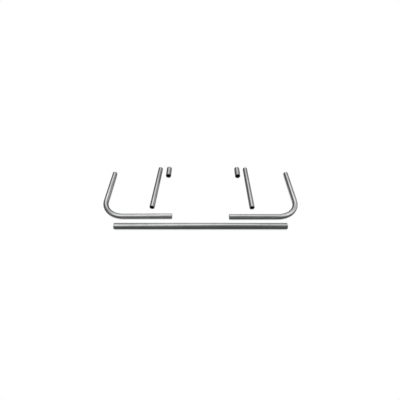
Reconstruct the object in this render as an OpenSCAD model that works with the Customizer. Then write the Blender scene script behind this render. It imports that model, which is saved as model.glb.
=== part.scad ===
// Knock-down ladder stabilizer, laid out flat on the ground as a kit of seven tubes.
// X runs along the centre tube, Y runs from the centre tube towards the wall side,
// and Z is up with the ground at 0. The origin is the middle of the footprint.
//
// How it goes together: the lateral leg of each arm slips into an end of the centre
// tube, a coupler slips over the open end of each arm, and an extension tube plugs
// into the other half of that coupler.

/* [Large stock: centre tube and couplers] */
// Outside diameter of the large tube
large_od = 33.4; // [31:0.1:36]
// Wall thickness of the large tube
large_wall = 2.11; // [1.2:0.01:2.2]
// Length of the centre tube
centre_len = 914.4; // [760:0.1:1220]
// Length of each coupler
coupler_len = 76.2; // [50:0.1:90]

/* [Small stock: arms and extension tubes] */
// Outside diameter of the small tube
small_od = 28.575; // [25:0.005:28.6]
// Wall thickness of the small tube
small_wall = 1.65; // [1.2:0.01:2.4]
// Straight length of an arm's lateral leg, the one that enters the centre tube
arm_lateral = 266.7; // [200:0.1:290]
// Straight length of an arm's standoff leg
arm_standoff = 254.0; // [180:0.1:300]
// Radius of the arm's bend, measured on the tube's centreline
bend_radius = 125; // [90:1:135]
// Angle that the bend turns through
bend_angle = 88; // [80:0.5:92]
// Length of each extension tube
extension_len = 355.6; // [250:0.1:400]

/* [Tube ends] */
// Deburring chamfer on the outside edge of every sawn end
end_break = 0.5; // [0.2:0.1:0.7]
// Deburring chamfer on the inside edge of every sawn end
bore_break = 0.4; // [0.2:0.1:0.5]

/* [Layout on the ground] */
// Distance of the centre tube's axis in front of the origin
centre_y = 238.5; // [232:0.5:260]
// Left arm: distance of its inner end from the middle
left_arm_x = 157; // [150:0.5:170]
// Left arm: distance of its lateral leg in front of the origin
left_arm_y = 166.5; // [160:0.5:172]
// Left arm: outward turn about its inner end, in degrees
left_arm_turn = 0.25; // [-1:0.05:1]
// Right arm: distance of its inner end from the middle
right_arm_x = 157; // [150:0.5:170]
// Right arm: distance of its lateral leg in front of the origin
right_arm_y = 171.5; // [160:0.5:175]
// Right arm: outward turn about its inner end, in degrees
right_arm_turn = -0.1; // [-1:0.05:1]
// Left extension tube: distance of its near end from the middle
left_ext_x = 276.5; // [265:0.5:290]
// Right extension tube: distance of its near end from the middle
right_ext_x = 293.5; // [270:0.5:300]
// Left extension tube: distance of its near end in front of the origin
left_ext_y = 100; // [85:0.5:105]
// Right extension tube: distance of its near end in front of the origin
right_ext_y = 103.5; // [85:0.5:108]
// Left extension tube: turn clockwise seen from above, in degrees
left_ext_turn = 1.8; // [-3:0.1:3]
// Right extension tube: turn clockwise seen from above, in degrees
right_ext_turn = 0.6; // [-3:0.1:3]
// Left coupler: distance of its near end from the middle
left_coupler_x = 207; // [195:0.5:215]
// Right coupler: distance of its near end from the middle
right_coupler_x = 240.5; // [215:0.5:242]
// Left coupler: distance of its near end behind the origin
left_coupler_y = 177.5; // [160:0.5:190]
// Right coupler: distance of its near end behind the origin
right_coupler_y = 174.5; // [160:0.5:190]
// Left coupler: turn clockwise seen from above, in degrees
left_coupler_turn = -0.3; // [-3:0.1:3]
// Right coupler: turn clockwise seen from above, in degrees
right_coupler_turn = 1.3; // [-3:0.1:3]

/* [Hidden] */
$fn = 96;
large_r = large_od / 2;
large_bore_r = large_r - large_wall;
small_r = small_od / 2;
small_bore_r = small_r - small_wall;
// The bend's wall is this much slimmer on each face than the straight legs, and each
// leg runs this far into the bend, so the three lengths meet as one tube.
bend_step = 0.02;
leg_run_in = 0.2;
zinc = [0.66, 0.68, 0.69];

// Solid outline of a straight tube along +Z, with both outside edges broken.
module straight_outside(len, r) {
    rotate_extrude()
        polygon([[0, 0], [r - end_break, 0], [r, end_break],
                 [r, len - end_break], [r - end_break, len], [0, len]]);
}

// Bore of a straight tube along +Z, opened out at both mouths.
module straight_bore(len, r) {
    rotate_extrude()
        polygon([[0, -1], [r + bore_break, -1], [r + bore_break, 0], [r, bore_break],
                 [r, len - bore_break], [r + bore_break, len],
                 [r + bore_break, len + 1], [0, len + 1]]);
}

// Sawn and deburred straight tube, from the origin along +Z.
module straight_tube(len, r, bore_r) {
    difference() {
        straight_outside(len, r);
        straight_bore(len, bore_r);
    }
}

// Straight tube leg along +X whose far end is sawn and whose near end runs into the bend.
module leg(len) {
    rotate([0, 90, 0])
        rotate_extrude()
            polygon([[small_bore_r, -leg_run_in], [small_r, -leg_run_in], [small_r, len - end_break],
                     [small_r - end_break, len], [small_bore_r + bore_break, len],
                     [small_bore_r, len - bore_break]]);
}

// Right-hand arm in its own frame: the lateral leg starts at the origin and runs
// along +X, then the tube bends round towards +Y into the standoff leg.
module arm() {
    union() {
        translate([arm_lateral, 0, 0])
            rotate([0, 0, 180])
                leg(arm_lateral);
        translate([arm_lateral, bend_radius, 0])
            rotate([0, 0, -90])
                rotate_extrude(angle = bend_angle)
                    translate([bend_radius, 0])
                        difference() {
                            circle(r = small_r - bend_step);
                            circle(r = small_bore_r + bend_step);
                        }
        translate([arm_lateral + bend_radius * sin(bend_angle),
                   bend_radius * (1 - cos(bend_angle)), 0])
            rotate([0, 0, bend_angle])
                leg(arm_standoff);
    }
}

// Straight tube lying on the ground, its near end at [x, y] and running along +Y,
// turned clockwise by "turn" degrees seen from above.
module lying_tube(x, y, turn, len, r, bore_r) {
    translate([x, y, r])
        rotate([0, 0, -turn])
            rotate([-90, 0, 0])
                straight_tube(len, r, bore_r);
}

module centre_tube() {
    color(zinc)
        translate([-centre_len / 2, -centre_y, large_r])
            rotate([0, 90, 0])
                straight_tube(centre_len, large_r, large_bore_r);
}

module left_arm() {
    color(zinc)
        translate([-left_arm_x, -left_arm_y, small_r])
            mirror([1, 0, 0])
                rotate([0, 0, -left_arm_turn])
                    arm();
}

module right_arm() {
    color(zinc)
        translate([right_arm_x, -right_arm_y, small_r])
            rotate([0, 0, -right_arm_turn])
                arm();
}

module left_coupler() {
    color(zinc)
        lying_tube(-left_coupler_x, left_coupler_y, left_coupler_turn,
                   coupler_len, large_r, large_bore_r);
}

module right_coupler() {
    color(zinc)
        lying_tube(right_coupler_x, right_coupler_y, right_coupler_turn,
                   coupler_len, large_r, large_bore_r);
}

module left_extension_tube() {
    color(zinc)
        lying_tube(-left_ext_x, -left_ext_y, left_ext_turn,
                   extension_len, small_r, small_bore_r);
}

module right_extension_tube() {
    color(zinc)
        lying_tube(right_ext_x, -right_ext_y, right_ext_turn,
                   extension_len, small_r, small_bore_r);
}

centre_tube();
left_arm();
right_arm();
left_coupler();
right_coupler();
left_extension_tube();
right_extension_tube();
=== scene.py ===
import math

import bpy
import numpy as np
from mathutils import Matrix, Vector


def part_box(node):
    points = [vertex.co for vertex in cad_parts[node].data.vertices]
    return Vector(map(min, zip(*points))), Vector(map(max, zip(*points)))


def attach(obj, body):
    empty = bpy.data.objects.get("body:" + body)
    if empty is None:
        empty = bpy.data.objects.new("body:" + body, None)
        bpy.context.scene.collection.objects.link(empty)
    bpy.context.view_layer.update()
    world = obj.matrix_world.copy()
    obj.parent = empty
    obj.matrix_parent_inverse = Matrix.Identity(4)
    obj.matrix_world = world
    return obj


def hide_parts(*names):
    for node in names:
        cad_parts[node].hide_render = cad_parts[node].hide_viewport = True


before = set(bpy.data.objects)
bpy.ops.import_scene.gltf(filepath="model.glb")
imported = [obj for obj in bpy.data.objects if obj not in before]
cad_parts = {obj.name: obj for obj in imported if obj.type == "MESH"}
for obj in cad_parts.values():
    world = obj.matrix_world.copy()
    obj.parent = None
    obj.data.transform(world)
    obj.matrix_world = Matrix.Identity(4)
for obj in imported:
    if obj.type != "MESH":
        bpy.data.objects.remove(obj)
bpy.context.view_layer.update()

MM = 0.001

# ---------------------------------------------------------------- dimensions
# The same numbers as in the CAD source, in millimetres and degrees.
LARGE_R, LARGE_BORE = 16.7, 14.59
SMALL_R, SMALL_BORE = 14.2875, 12.6375
CENTRE_LEN, COUPLER_LEN, EXT_LEN = 914.4, 76.2, 355.6
ARM_LATERAL, ARM_STANDOFF, BEND_R, BEND = 266.7, 254.0, 125.0, math.radians(88)

TUBES = {
    # node: (body, kind, x, y, turn, where the weld seam lies round the tube, seed)
    "centre_tube": ("centre", "centre", -CENTRE_LEN / 2, -238.5, 0.0, 250.0, 3),
    "left_arm": ("left_arm", "arm", -157.0, -166.5, 0.25, 205.0, 11),
    "right_arm": ("right_arm", "arm", 157.0, -171.5, -0.1, 200.0, 17),
    "left_coupler": ("left_coupler", "coupler", -207.0, 177.5, -0.3, 320.0, 23),
    "right_coupler": ("right_coupler", "coupler", 240.5, 174.5, 1.3, 228.0, 31),
    "left_extension_tube": ("left_extension", "extension", -276.5, -100.0, 1.8, 300.0, 41),
    "right_extension_tube": ("right_extension", "extension", 293.5, -103.5, 0.6, 215.0, 47),
}

# Painted sheen: a factor that makes the zinc colour brighter along each tube:
# (millimetres from the first end, factor). On the arms it is highest at the bends, as a painted highlight.
PAINTED_SHEEN = {
    "centre_tube": ((0, 0.95), (457, 1.0), (914, 0.95)),
    "left_arm": ((0, 1.1), (267, 1.2), (460, 1.2), (713, 1.0)),
    "right_arm": ((0, 1.1), (267, 1.2), (460, 1.2), (713, 1.0)),
    "left_coupler": ((0, 1.1), (76, 1.1)),
    "right_coupler": ((0, 1.1), (76, 1.1)),
    "left_extension_tube": ((0, 1.05), (178, 1.0), (356, 1.05)),
    "right_extension_tube": ((0, 1.05), (178, 1.0), (356, 1.05)),
}


# ---------------------------------------------------------------- centrelines
def straight_path(x, y, direction, length):
    d = np.array([direction[0], direction[1], 0.0])

    def at(s):
        s = np.asarray(s, float)
        p = np.array([x, y, 0.0]) + s[..., None] * d
        return p, np.broadcast_to(d, p.shape)

    return at, length, []


def arm_path(side, x, y, turn):
    """Lateral leg outward from its inner end, the bend, then the standoff leg."""
    t = math.radians(-turn)
    total = ARM_LATERAL + BEND_R * BEND + ARM_STANDOFF

    def at(s):
        s = np.asarray(s, float)
        a = np.clip((s - ARM_LATERAL) / BEND_R, 0, BEND)
        before = np.minimum(s, ARM_LATERAL)
        after = np.maximum(s - ARM_LATERAL - BEND_R * BEND, 0)
        u = before + BEND_R * np.sin(a) + after * np.cos(a)
        v = BEND_R * (1 - np.cos(a)) + after * np.sin(a)
        du, dv = np.cos(a), np.sin(a)
        ct, st = math.cos(t), math.sin(t)
        p = np.stack([side * (abs(x) + u * ct - v * st), y + u * st + v * ct, 0 * u], -1)
        d = np.stack([side * (du * ct - dv * st), du * st + dv * ct, 0 * u], -1)
        return p, d

    return at, total, [ARM_LATERAL, ARM_LATERAL + BEND_R * BEND]


# ---------------------------------------------------------------- surface relief
def relief(rng, count, amp, waves, lobes):
    """A smooth, closed wobble over length s (mm) and angle f, from a few sine waves."""
    terms = []
    for _ in range(count):
        lam = math.exp(rng.uniform(math.log(waves[0]), math.log(waves[1])))
        m = int(rng.integers(lobes[0], lobes[1] + 1))
        a = amp * (lam / waves[1]) ** 0.6 * rng.uniform(0.6, 1.0)
        terms.append((a, 2 * math.pi / lam * rng.choice((-1, 1)), m, rng.uniform(0, 2 * math.pi)))
    norm = amp / max(1e-9, math.sqrt(sum(t[0] ** 2 for t in terms) / 2))

    def f(s, ph):
        out = 0.0
        for a, k, m, p in terms:
            out = out + norm * a * np.cos(k * s + m * ph + p)
        return out

    return f


def tube_object(name, path, length, bends, r_out, r_in, seam_deg, seed):
    """A sawn length of welded tube as one closed mesh: outer wall, both deburred ends,
    both cut faces and the whole bore. Nothing stands proud of the nominal radius."""
    rng = np.random.default_rng(seed)
    seam = math.radians(seam_deg)
    ph = np.linspace(0, 2 * math.pi, 120, endpoint=False)
    ph = np.concatenate([ph, seam + np.radians([-9, -7.5, -6, -4.5, -3.3, -2.2, -1.1, 0, 1.1, 2.2, 3.3, 4.5, 6, 7.5, 9])])
    ph = np.unique(np.round(np.mod(ph, 2 * math.pi), 5))
    ph = ph[np.append(np.diff(ph) > 0.006, True)]

    def stations(lo, hi):
        near = [0.0, 0.25, 0.8, 1.8, 3.2, 5.0, 7.5, 10.5, 14.0]
        mid = np.linspace(lo + 18, hi - 18, max(2, int((hi - lo - 36) / 4.0)))
        extra = [b + o for b in bends for o in (-2, -1, 0, 1, 2)]
        return np.unique(np.round(np.concatenate([[lo + n for n in near], mid, [hi - n for n in near], extra]), 4))

    bo, bi = 0.45, 0.35           # outer and inner edge rounds
    so = stations(bo, length - bo)
    si = stations(bi, length - bi)
    prof = []                     # (s, r, zone) with zone 0 outer, 1 cut face, 2 bore
    prof += [(s, r_out, 0) for s in so]
    for a in (22.5, 45, 67.5, 90):
        t = math.radians(a)
        prof.append((length - bo + bo * math.sin(t), r_out - bo + bo * math.cos(t), 1))
    wall = (r_out - bo) - (r_in + bi)
    for q in (0.08, 0.5, 0.92):
        prof.append((length, r_out - bo - wall * q, 1))
    for a in (90, 67.5, 45, 22.5):
        t = math.radians(a)
        prof.append((length - bi + bi * math.sin(t), r_in + bi - bi * math.cos(t), 1))
    prof += [(s, r_in, 2) for s in si[::-1]]
    for a in (22.5, 45, 67.5, 90):
        t = math.radians(a)
        prof.append((bi - bi * math.sin(t), r_in + bi - bi * math.cos(t), 1))
    for q in (0.92, 0.5, 0.08):
        prof.append((0.0, r_out - bo - wall * q, 1))
    for a in (90, 67.5, 45, 22.5):
        t = math.radians(a)
        prof.append((bo - bo * math.sin(t), r_out - bo + bo * math.cos(t), 1))
    prof = np.array(prof)
    n, m = len(prof), len(ph)
    S = np.repeat(prof[:, 0][:, None], m, 1)
    R = np.repeat(prof[:, 1][:, None], m, 1)
    Z = np.repeat(prof[:, 2][:, None], m, 1)
    F = np.repeat(ph[None, :], n, 0)
    is_in = R < (r_out + r_in) / 2

    # rolling and handling: slow waves in the wall, and a few shallow dings
    slow = relief(rng, 14, 0.022, (30, 170), (1, 3))
    fine = relief(rng, 16, 0.005, (9, 30), (2, 7))
    w = slow(S, F) + fine(S, F)
    w = np.minimum(w - 0.055, -0.05)
    for _ in range(int(3 + length / 90)):
        s0, f0 = rng.uniform(8, length - 8), rng.uniform(0, 2 * math.pi)
        rad, deep = rng.uniform(2.0, 6.5), rng.uniform(0.03, 0.14)
        stretch = rng.uniform(0.8, 2.2)
        df = np.mod(F - f0 + math.pi, 2 * math.pi) - math.pi
        d2 = ((S - s0) / (rad * stretch)) ** 2 + (df * r_out / rad) ** 2
        w = w - deep * np.exp(-d2)
    # the weld line: scarfed flat outside, a low rolled bead inside
    df = np.mod(F - seam + math.pi, 2 * math.pi) - math.pi
    across = df * r_out
    ripple = 1 + 0.35 * np.cos(2 * math.pi * S / 3.7) * np.cos(2 * math.pi * S / 23.0 + 1.1)
    w_out = w - 0.045 * np.exp(-(across / 1.35) ** 4) * ripple
    bead = 0.16 * np.exp(-((df * r_in) / 0.75) ** 2) * (1 + 0.25 * np.cos(2 * math.pi * S / 5.3 + 0.6))
    w_in = -bead + 0.4 * (slow(S + 400, F))
    R = R + np.where(is_in, w_in, w_out)

    # the bend: the section loses a little across the plane of the bend, and the inside
    # of the bend shows the faint ripple that the former leaves
    Rr = R.copy()
    if bends:
        b0, b1 = bends
        g = np.clip((S - b0 + 14) / 28, 0, 1)
        h = np.clip((b1 + 14 - S) / 28, 0, 1)
        k = (g * g * (3 - 2 * g)) * (h * h * (3 - 2 * h))
        c = np.cos(F)
        Rr = R * (1 - 0.021 * k * c * c)
        inner = np.clip(c, 0, 1) ** 3            # +1 faces the inside of the bend
        Rr = Rr - 0.045 * k * inner * (1 + np.cos(2 * math.pi * S / 7.0))
        clamp = np.exp(-((S - b0 + 9) / 2.2) ** 2) + np.exp(-((S - b1 - 9) / 2.2) ** 2)
        Rr = Rr - 0.05 * clamp * np.clip(-c, 0, 1) ** 2
    # saw cuts that aren't quite square, always inside the nominal length
    tilt0, tilt1 = rng.uniform(0.08, 0.22, 2)
    p0, p1 = rng.uniform(0, 2 * math.pi, 2)
    fall0 = np.clip(1 - S / 9.0, 0, 1)
    fall1 = np.clip(1 - (length - S) / 9.0, 0, 1)
    S2 = S + tilt0 * (1 + np.cos(F - p0)) / 2 * fall0 - tilt1 * (1 + np.cos(F - p1)) / 2 * fall1

    P, D = path(S2)
    # the horizontal normal that points to the inside of a bend
    H = np.stack([-D[..., 1], D[..., 0], np.zeros_like(S2)], -1)
    if name.startswith("left_arm"):
        H = -H
    co = P + H * (Rr * np.cos(F))[..., None]
    co[..., 2] = r_out + Rr * np.sin(F)
    co = co.reshape(-1, 3) * MM

    i, j = np.meshgrid(np.arange(n), np.arange(m), indexing="ij")
    i2, j2 = (i + 1) % n, (j + 1) % m
    quads = np.stack([i * m + j, i2 * m + j, i2 * m + j2, i * m + j2], -1).reshape(-1, 4)
    flip = name.startswith("left_arm")
    if not flip:
        quads = quads[:, ::-1]
    me = bpy.data.meshes.new(name)
    me.from_pydata(co.tolist(), [], quads.tolist())
    me.validate()
    me.update()

    # coordinates that follow the tube: length along it, and the place round it from the seam
    tc = np.stack([S2 + seed * 1370.0, Rr * np.cos(F - seam), Rr * np.sin(F - seam)], -1).reshape(-1, 3) * MM
    at = me.attributes.new("tube_co", "FLOAT_VECTOR", "POINT")
    at.data.foreach_set("vector", tc.astype(np.float32).ravel())
    end = np.minimum(S, length - S)
    at = me.attributes.new("end_mm", "FLOAT", "POINT")
    at.data.foreach_set("value", end.astype(np.float32).ravel())
    worn = np.zeros_like(S)
    if bends:
        worn = k * (0.35 + 0.65 * np.clip(-np.cos(F), 0, 1))
    at = me.attributes.new("bend_wear", "FLOAT", "POINT")
    at.data.foreach_set("value", worn.astype(np.float32).ravel())

    # painted sheen: the brightness factor along the tube, smoothed, stored for the zinc colour
    where, factor = np.array(PAINTED_SHEEN[name[:-6]], float).T
    u = np.linspace(-30, 30, 13)
    smooth = np.mean([np.interp(S + o, where, factor) for o in u], axis=0)
    at = me.attributes.new("painted_sheen", "FLOAT", "POINT")
    at.data.foreach_set("value", smooth.astype(np.float32).ravel())

    both_outer = (prof[:, 2] == 0) & (np.roll(prof[:, 2], -1) == 0)
    both_bore = (prof[:, 2] == 2) & (np.roll(prof[:, 2], -1) == 2)
    zone = np.where(both_outer, 0, np.where(both_bore, 2, 1))
    mats = np.repeat(zone, m).astype(np.int32)
    me.polygons.foreach_set("material_index", mats)
    me.polygons.foreach_set("use_smooth", np.ones(len(me.polygons), bool))
    me.update()
    ob = bpy.data.objects.new(name, me)
    bpy.context.scene.collection.objects.link(ob)
    return ob


# ---------------------------------------------------------------- materials
class Tree:
    """Small helper for building node trees."""

    def __init__(self, tree):
        self.t = tree
        self.t.nodes.clear()
        self.x = 0

    def node(self, kind, **props):
        nd = self.t.nodes.new(kind)
        self.x += 40
        nd.location = (self.x, -self.x % 700)
        for key, value in props.items():
            setattr(nd, key, value)
        return nd

    def link(self, a, b):
        self.t.links.new(a, b)

    def put(self, socket, value):
        if hasattr(value, "is_linked") or isinstance(value, bpy.types.NodeSocket):
            self.link(value, socket)
        else:
            socket.default_value = value

    def math(self, op, a, b=None, c=None, clamp=False):
        nd = self.node("ShaderNodeMath", operation=op, use_clamp=clamp)
        self.put(nd.inputs[0], a)
        if b is not None:
            self.put(nd.inputs[1], b)
        if c is not None:
            self.put(nd.inputs[2], c)
        return nd.outputs[0]

    def remap(self, v, a, b, c=0.0, d=1.0, smooth=False):
        nd = self.node("ShaderNodeMapRange", clamp=True)
        if smooth:
            nd.interpolation_type = "SMOOTHSTEP"
        self.put(nd.inputs["Value"], v)
        for key, value in (("From Min", a), ("From Max", b), ("To Min", c), ("To Max", d)):
            nd.inputs[key].default_value = value
        return nd.outputs["Result"]

    def vec(self, x, y, z):
        nd = self.node("ShaderNodeCombineXYZ")
        self.put(nd.inputs[0], x)
        self.put(nd.inputs[1], y)
        self.put(nd.inputs[2], z)
        return nd.outputs[0]

    def scaled(self, v, x, y, z):
        nd = self.node("ShaderNodeVectorMath", operation="MULTIPLY")
        self.put(nd.inputs[0], v)
        nd.inputs[1].default_value = (x, y, z)
        return nd.outputs[0]

    def turned(self, v, angle):
        nd = self.node("ShaderNodeVectorRotate", rotation_type="X_AXIS")
        self.put(nd.inputs["Vector"], v)
        nd.inputs["Angle"].default_value = angle
        return nd.outputs[0]

    def noise(self, v, scale=1.0, detail=3.0, rough=0.55, distort=0.0, kind="FBM"):
        nd = self.node("ShaderNodeTexNoise", noise_dimensions="3D")
        self.put(nd.inputs["Vector"], v)
        nd.inputs["Scale"].default_value = scale
        nd.inputs["Detail"].default_value = detail
        nd.inputs["Roughness"].default_value = rough
        nd.inputs["Distortion"].default_value = distort
        return nd.outputs["Fac"]

    def voronoi(self, v, scale=1.0, feature="F1", out="Distance", rand=1.0):
        nd = self.node("ShaderNodeTexVoronoi", feature=feature)
        self.put(nd.inputs["Vector"], v)
        nd.inputs["Scale"].default_value = scale
        nd.inputs["Randomness"].default_value = rand
        return nd.outputs[out]

    def mix(self, fac, a, b, kind="MIX"):
        nd = self.node("ShaderNodeMix", data_type="RGBA", blend_type=kind)
        self.put(nd.inputs[0], fac)
        self.put(nd.inputs[6], a)
        self.put(nd.inputs[7], b)
        return nd.outputs[2]

    def attribute(self, name, out):
        return self.node("ShaderNodeAttribute", attribute_name=name).outputs[out]


def grey(v, tint=(0.988, 1.0, 1.006)):
    return (v * tint[0], v * tint[1], v * tint[2], 1.0)


def tube_nodes(t):
    """Tube coordinates in millimetres and their three components, shared by all three finishes."""
    mm = t.scaled(t.attribute("tube_co", "Vector"), 1000.0, 1000.0, 1000.0)
    sep = t.node("ShaderNodeSeparateXYZ")
    t.link(mm, sep.inputs[0])
    return mm, sep.outputs[0], sep.outputs[1], sep.outputs[2]


def zinc_material():
    """Bright galvanised tube: draw lines, soft zinc spangle, cloudy dull patches,
    rubs and scratches from handling, specks, and a duller line along the weld."""
    mat = bpy.data.materials.new("bright_zinc_tube")
    mat.use_nodes = True
    t = Tree(mat.node_tree)
    mm, s, y, z = tube_nodes(t)
    end = t.attribute("end_mm", "Fac")
    bend = t.attribute("bend_wear", "Fac")

    # lines drawn along the tube, in two widths
    lines = t.noise(t.scaled(mm, 0.006, 1.15, 1.15), 1.0, 5.0, 0.62)
    hair = t.noise(t.scaled(mm, 0.02, 4.2, 4.2), 1.0, 3.0, 0.6)
    bands = t.noise(t.scaled(mm, 0.0035, 0.22, 0.22), 1.0, 2.0, 0.5)
    # zinc: soft crystals a few millimetres across, and the cloud that covers them
    wob = t.noise(t.scaled(mm, 0.12, 0.12, 0.12), 1.0, 3.0, 0.5)
    bent = t.node("ShaderNodeVectorMath", operation="ADD")
    t.link(t.scaled(mm, 0.13, 0.21, 0.21), bent.inputs[0])
    t.link(t.scaled(t.vec(wob, wob, wob), 0.9, 0.9, 0.9), bent.inputs[1])
    cell = t.voronoi(bent.outputs[0], 1.0, "SMOOTH_F1", "Color", 1.0)
    cs = t.node("ShaderNodeSeparateColor")
    t.link(cell, cs.inputs[0])
    spangle = cs.outputs[0]
    cloud = t.noise(t.scaled(mm, 0.012, 0.045, 0.045), 1.0, 4.0, 0.55, 0.4)
    patch = t.remap(t.noise(t.scaled(mm, 0.03, 0.075, 0.075), 1.0, 5.0, 0.6, 0.5), 0.50, 0.68, smooth=True)
    # rubs: short marks that run nearly along the tube, and a few that cross it
    rub = t.remap(t.noise(t.scaled(mm, 0.045, 1.6, 1.6), 1.0, 2.0, 0.5, 0.2), 0.655, 0.72)
    rub = t.math("MULTIPLY", rub, t.remap(t.noise(t.scaled(mm, 0.02, 0.06, 0.06), 1.0, 2.0, 0.5), 0.45, 0.6))
    skew = t.node("ShaderNodeVectorRotate", rotation_type="AXIS_ANGLE")
    t.link(mm, skew.inputs["Vector"])
    skew.inputs["Axis"].default_value = (0.35, 0.6, 0.7)
    skew.inputs["Angle"].default_value = 0.9
    cut = t.remap(t.noise(t.scaled(skew.outputs[0], 0.05, 2.6, 0.5), 1.0, 1.0, 0.5), 0.70, 0.745)
    cut = t.math("MULTIPLY", cut, t.remap(t.noise(t.scaled(mm, 0.03, 0.1, 0.1), 1.0, 2.0, 0.5), 0.5, 0.62))
    speck = t.remap(t.noise(t.scaled(mm, 0.55, 0.75, 0.75), 1.0, 2.0, 0.5), 0.735, 0.79)
    # the weld line, 3 mm wide, on the side where y is positive
    off = t.math("ABSOLUTE", z)
    seam = t.math("MULTIPLY", t.remap(off, 1.1, 1.9, 1.0, 0.0, True), t.math("GREATER_THAN", y, 0.0))
    tint = t.math("MULTIPLY", t.remap(off, 1.6, 4.6, 1.0, 0.0, True), t.math("GREATER_THAN", y, 0.0))
    seam_n = t.noise(t.scaled(mm, 0.25, 1.0, 1.0), 1.0, 4.0, 0.6)
    # scuffing near the sawn ends
    rim = t.math("MULTIPLY", t.remap(end, 1.0, 16.0, 1.0, 0.0, True),
                 t.remap(t.noise(t.scaled(mm, 0.22, 0.4, 0.4), 1.0, 4.0, 0.6), 0.42, 0.62))

    tone = t.math("MULTIPLY_ADD", t.math("SUBTRACT", lines, 0.5), 0.34, 0.0)
    tone = t.math("MULTIPLY_ADD", t.math("SUBTRACT", hair, 0.5), 0.16, tone)
    tone = t.math("MULTIPLY_ADD", t.math("SUBTRACT", bands, 0.5), 0.22, tone)
    tone = t.math("MULTIPLY_ADD", t.math("SUBTRACT", spangle, 0.5), 0.13, tone)
    tone = t.math("MULTIPLY_ADD", t.math("SUBTRACT", cloud, 0.5), 0.34, tone)
    tone = t.math("MULTIPLY_ADD", patch, -0.075, tone)
    tone = t.math("MULTIPLY_ADD", rub, 0.10, tone)
    tone = t.math("MULTIPLY_ADD", cut, -0.10, tone)
    tone = t.math("MULTIPLY_ADD", speck, -0.20, tone)
    tone = t.math("MULTIPLY_ADD", seam, t.math("MULTIPLY_ADD", seam_n, 0.12, -0.13), tone)
    tone = t.math("MULTIPLY_ADD", rim, -0.06, tone)
    tone = t.math("MULTIPLY_ADD", bend, -0.03, tone)
    fac = t.math("ADD", tone, 0.5, clamp=True)
    base = t.mix(fac, grey(0.22), grey(0.88))
    # zinc dulls bluish, the weld line and the rim a touch warmer
    warm = t.mix(t.math("MULTIPLY", t.math("MAXIMUM", t.math("MULTIPLY", tint, 0.30), t.math("MULTIPLY", rim, 0.35)), 1.0, clamp=True),
                 (1, 1, 1, 1), (1.0, 0.955, 0.90, 1))
    base = t.mix(1.0, base, warm, "MULTIPLY")
    cool = t.mix(t.math("MULTIPLY", patch, 0.6), (1, 1, 1, 1), (0.955, 0.985, 1.0, 1))
    base = t.mix(1.0, base, cool, "MULTIPLY")
    # painted sheen: the zinc colour is made brighter along each tube, most at the bends, as a painted highlight
    painted_sheen = t.attribute("painted_sheen", "Fac")
    base = t.mix(1.0, base, t.vec(painted_sheen, painted_sheen, painted_sheen), "MULTIPLY")
    base.node.clamp_result = True

    rough = t.math("MULTIPLY_ADD", cloud, 0.12, 0.03)
    rough = t.math("MULTIPLY_ADD", spangle, 0.05, rough)
    rough = t.math("MULTIPLY_ADD", lines, 0.08, rough)
    rough = t.math("MULTIPLY_ADD", patch, 0.12, rough)
    rough = t.math("MULTIPLY_ADD", rub, -0.07, rough)
    rough = t.math("MULTIPLY_ADD", cut, 0.14, rough)
    rough = t.math("MULTIPLY_ADD", seam, 0.12, rough)
    rough = t.math("MULTIPLY_ADD", rim, 0.10, rough)
    rough = t.math("MULTIPLY_ADD", bend, 0.04, rough, clamp=True)

    h = t.math("MULTIPLY", lines, 0.30)
    h = t.math("MULTIPLY_ADD", hair, 0.16, h)
    h = t.math("MULTIPLY_ADD", spangle, 0.10, h)
    h = t.math("MULTIPLY_ADD", cut, -0.45, h)
    h = t.math("MULTIPLY_ADD", rub, -0.15, h)
    h = t.math("MULTIPLY_ADD", speck, 0.25, h)
    h = t.math("MULTIPLY_ADD", t.math("MULTIPLY", seam, seam_n), 0.5, h)
    bump = t.node("ShaderNodeBump")
    bump.inputs["Strength"].default_value = 0.55
    bump.inputs["Distance"].default_value = 0.00006
    t.link(h, bump.inputs["Height"])

    sh = t.node("ShaderNodeBsdfPrincipled")
    sh.inputs["Metallic"].default_value = 1.0
    # the oxide film takes the shine off at grazing angles
    sh.inputs["Specular Tint"].default_value = (0.2, 0.2, 0.2, 1.0)
    t.link(base, sh.inputs["Base Color"])
    t.link(rough, sh.inputs["Roughness"])
    t.link(bump.outputs[0], sh.inputs["Normal"])
    out = t.node("ShaderNodeOutputMaterial")
    t.link(sh.outputs[0], out.inputs["Surface"])
    return mat


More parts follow.
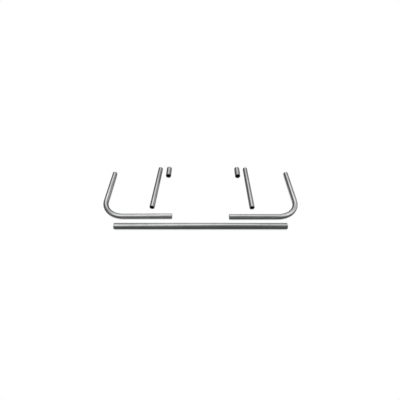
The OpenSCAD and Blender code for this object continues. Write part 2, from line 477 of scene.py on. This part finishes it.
def cut_material():
    """Sawn and deburred steel: straight saw lines across the wall
    and the first brown of bare steel in places."""
    mat = bpy.data.materials.new("sawn_steel_end")
    mat.use_nodes = True
    t = Tree(mat.node_tree)
    mm, s, y, z = tube_nodes(t)
    arc = t.node("ShaderNodeTexWave", wave_type="BANDS", bands_direction="Z")
    t.link(t.scaled(mm, 0.2, 0.35, 1.0), arc.inputs["Vector"])
    arc.inputs["Scale"].default_value = 0.75
    arc.inputs["Distortion"].default_value = 1.2
    arc.inputs["Detail"].default_value = 3.0
    arc.inputs["Detail Scale"].default_value = 1.5
    saw = arc.outputs["Fac"]
    n = t.noise(t.scaled(mm, 0.6, 0.6, 0.6), 1.0, 4.0, 0.6)
    rust = t.remap(t.noise(t.scaled(mm, 0.3, 0.3, 0.3), 1.0, 4.0, 0.6, 0.6), 0.55, 0.72, smooth=True)
    base = t.mix(t.math("MULTIPLY_ADD", saw, 0.5, t.math("MULTIPLY", n, 0.5)), (0.46, 0.46, 0.465, 1), (0.93, 0.93, 0.935, 1))
    base = t.mix(t.math("MULTIPLY", rust, 0.30), base, (0.30, 0.225, 0.17, 1))
    rough = t.math("MULTIPLY_ADD", saw, 0.14, t.math("MULTIPLY_ADD", rust, 0.2, 0.42))
    bump = t.node("ShaderNodeBump")
    bump.inputs["Strength"].default_value = 0.6
    bump.inputs["Distance"].default_value = 0.00005
    t.link(t.math("MULTIPLY_ADD", n, 0.4, saw), bump.inputs["Height"])
    sh = t.node("ShaderNodeBsdfPrincipled")
    sh.inputs["Metallic"].default_value = 0.6
    t.link(base, sh.inputs["Base Color"])
    t.link(rough, sh.inputs["Roughness"])
    t.link(bump.outputs[0], sh.inputs["Normal"])
    out = t.node("ShaderNodeOutputMaterial")
    t.link(sh.outputs[0], out.inputs["Surface"])
    return mat


def bore_material():
    """The unplated inside of the tube: dark mill scale and oil film with faint draw
    lines, and the burnt grey line of the inner weld bead."""
    mat = bpy.data.materials.new("dark_mill_scale_bore")
    mat.use_nodes = True
    t = Tree(mat.node_tree)
    mm, s, y, z = tube_nodes(t)
    end = t.attribute("end_mm", "Fac")
    lines = t.noise(t.scaled(mm, 0.01, 1.3, 1.3), 1.0, 4.0, 0.6)
    scale = t.noise(t.scaled(mm, 0.08, 0.16, 0.16), 1.0, 5.0, 0.6, 0.6)
    off = t.math("ABSOLUTE", z)
    seam = t.math("MULTIPLY", t.remap(off, 0.5, 1.3, 1.0, 0.0, True), t.math("GREATER_THAN", y, 0.0))
    # painted light: lighter patches over the first 5 mm of the mouth
    mouth = t.math("MULTIPLY", t.remap(end, 0.5, 5.0, 1.0, 0.0, True), t.remap(scale, 0.45, 0.62))
    fac = t.math("MULTIPLY_ADD", lines, 0.45, t.math("MULTIPLY", scale, 0.45))
    fac = t.math("MULTIPLY_ADD", seam, 0.30, fac)
    fac = t.math("MULTIPLY_ADD", mouth, 0.25, fac, clamp=True)
    base = t.mix(fac, (0.006, 0.006, 0.0065, 1), (0.075, 0.074, 0.073, 1))
    # painted light: over the first few millimetres of the mouth the wall turns lighter and zinc-grey, thinning out
    # unevenly, where light reaches into the bore
    reach = t.math("MULTIPLY_ADD", t.math("SUBTRACT", scale, 0.5), 9.0, end)
    painted_mouth_light = t.remap(reach, 1.5, 9.0, 1.0, 0.0, True)
    base = t.mix(painted_mouth_light, base, t.mix(lines, grey(0.26), grey(0.62)))
    rough = t.math("MULTIPLY_ADD", scale, 0.25, t.math("MULTIPLY_ADD", painted_mouth_light, -0.08, 0.40))
    bump = t.node("ShaderNodeBump")
    bump.inputs["Strength"].default_value = 0.6
    bump.inputs["Distance"].default_value = 0.00008
    t.link(t.math("MULTIPLY_ADD", scale, 0.8, lines), bump.inputs["Height"])
    sh = t.node("ShaderNodeBsdfPrincipled")
    sh.inputs["Metallic"].default_value = 0.8
    t.link(base, sh.inputs["Base Color"])
    t.link(rough, sh.inputs["Roughness"])
    t.link(bump.outputs[0], sh.inputs["Normal"])
    out = t.node("ShaderNodeOutputMaterial")
    t.link(sh.outputs[0], out.inputs["Surface"])
    return mat


ZINC, CUT, BORE = zinc_material(), cut_material(), bore_material()

# ---------------------------------------------------------------- the seven tubes
for node, (body, kind, x, y, turn, seam_deg, seed) in TUBES.items():
    if kind == "centre":
        path, length, bends = straight_path(x, y, (1.0, 0.0), CENTRE_LEN)
        r_out, r_in = LARGE_R, LARGE_BORE
    elif kind == "arm":
        path, length, bends = arm_path(-1 if x < 0 else 1, x, y, turn)
        r_out, r_in = SMALL_R, SMALL_BORE
    else:
        a = math.radians(turn)
        length = COUPLER_LEN if kind == "coupler" else EXT_LEN
        path, length, bends = straight_path(x, y, (math.sin(a), math.cos(a)), length)
        r_out, r_in = (LARGE_R, LARGE_BORE) if kind == "coupler" else (SMALL_R, SMALL_BORE)
    ob = tube_object(node + "_steel", path, length, bends, r_out, r_in, seam_deg, seed)
    for m in (ZINC, CUT, BORE):
        ob.data.materials.append(m)
    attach(ob, body)
    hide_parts(node)
    lo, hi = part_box(node)
    pts = np.empty(len(ob.data.vertices) * 3)
    ob.data.vertices.foreach_get("co", pts)
    pts = pts.reshape(-1, 3)
    low, high = np.array(lo) - pts.min(0), pts.max(0) - np.array(hi)
    print("BOX", node, "outside by mm", np.round(low * 1000, 3), np.round(high * 1000, 3))

# ---------------------------------------------------------------- floor
me = bpy.data.meshes.new("floor")
me.from_pydata([(-9, -9, 0), (9, -9, 0), (9, 9, 0), (-9, 9, 0)], [], [(0, 1, 2, 3)])
floor = bpy.data.objects.new("floor", me)
bpy.context.scene.collection.objects.link(floor)
floor.location.z = -0.0002
fm = bpy.data.materials.new("white_sweep")
fm.use_nodes = True
t = Tree(fm.node_tree)
em = t.node("ShaderNodeEmission")
em.inputs["Color"].default_value = (1, 1, 1, 1)
# the sweep is lit to plain white; only the strip right under each tube falls into shade
shade = t.node("ShaderNodeAmbientOcclusion", samples=12)
shade.inputs["Distance"].default_value = 0.008
t.link(t.remap(shade.outputs["AO"], 0.10, 0.80, 0.45, 1.0), em.inputs["Strength"])
out = t.node("ShaderNodeOutputMaterial")
t.link(em.outputs[0], out.inputs["Surface"])
floor.data.materials.append(fm)
floor.visible_glossy = False
floor.visible_diffuse = False

# ---------------------------------------------------------------- studio light
# Five broad softboxes and an even fill: azimuth from the back (+Y) towards the right (+X),
# elevation, and brightness. TIGHT sets how wide each one spreads.
SOURCES = [
    (0, 55, 1.60),
    (95, 45, 1.60),
    (-115, 60, 1.50),
    (60, 0, 0.80),
    (-50, -45, 0.80),
]
TIGHT = 12.0
AMBIENT = 0.12
world = bpy.data.worlds.new("studio")
bpy.context.scene.world = world
world.use_nodes = True
t = Tree(world.node_tree)
direction = t.node("ShaderNodeTexCoord").outputs["Generated"]
total = None
for az, el, amp in SOURCES:
    a, e = math.radians(az), math.radians(el)
    dot = t.node("ShaderNodeVectorMath", operation="DOT_PRODUCT")
    t.link(direction, dot.inputs[0])
    dot.inputs[1].default_value = (math.sin(a) * math.cos(e), math.cos(a) * math.cos(e), math.sin(e))
    lobe = t.math("EXPONENT", t.math("MULTIPLY_ADD", dot.outputs["Value"], TIGHT, -TIGHT))
    total = t.math("MULTIPLY_ADD", lobe, amp, AMBIENT if total is None else total)
bg = t.node("ShaderNodeBackground")
bg.inputs["Color"].default_value = (1.0, 1.0, 1.0, 1)
t.link(total, bg.inputs["Strength"])
white = t.node("ShaderNodeBackground")
white.inputs["Color"].default_value = (1, 1, 1, 1)
white.inputs["Strength"].default_value = 1.0
lp = t.node("ShaderNodeLightPath")
mx = t.node("ShaderNodeMixShader")
t.link(lp.outputs["Is Camera Ray"], mx.inputs[0])
t.link(bg.outputs[0], mx.inputs[1])
t.link(white.outputs[0], mx.inputs[2])
out = t.node("ShaderNodeOutputWorld")
t.link(mx.outputs[0], out.inputs["Surface"])

lamp_data = bpy.data.lights.new("soft_overhead", "SUN")
lamp_data.energy = 2.0
lamp_data.angle = math.radians(60)
lamp = bpy.data.objects.new("soft_overhead", lamp_data)
bpy.context.scene.collection.objects.link(lamp)
lamp.rotation_euler = (math.radians(-14), math.radians(26), 0)
lamp.visible_glossy = False

scene = bpy.context.scene
scene.view_settings.view_transform = "Standard"
scene.view_settings.look = "None"
scene.view_settings.exposure = 0.0
scene.view_settings.gamma = 1.0

# ---------------------------------------------------------------- camera
cam_data = bpy.data.cameras.new("camera")
cam = bpy.data.objects.new("camera", cam_data)
scene.collection.objects.link(cam)
scene.camera = cam
cam_data.sensor_width = 36.0
cam_data.lens = 249.18 / 400 * 36
pitch, reach, half_px = math.radians(45.0), 1.4772, 0.002964
target = Vector((0.0, -0.031, 0.0)) + half_px * Vector((-1.0, math.sin(pitch), math.cos(pitch)))
cam.location = target + Vector((0.0, -math.cos(pitch), math.sin(pitch))) * reach
cam.rotation_mode = "QUATERNION"
cam.rotation_quaternion = (target - cam.location).to_track_quat("-Z", "Y")
cam_data.clip_start, cam_data.clip_end = 0.01, 60.0
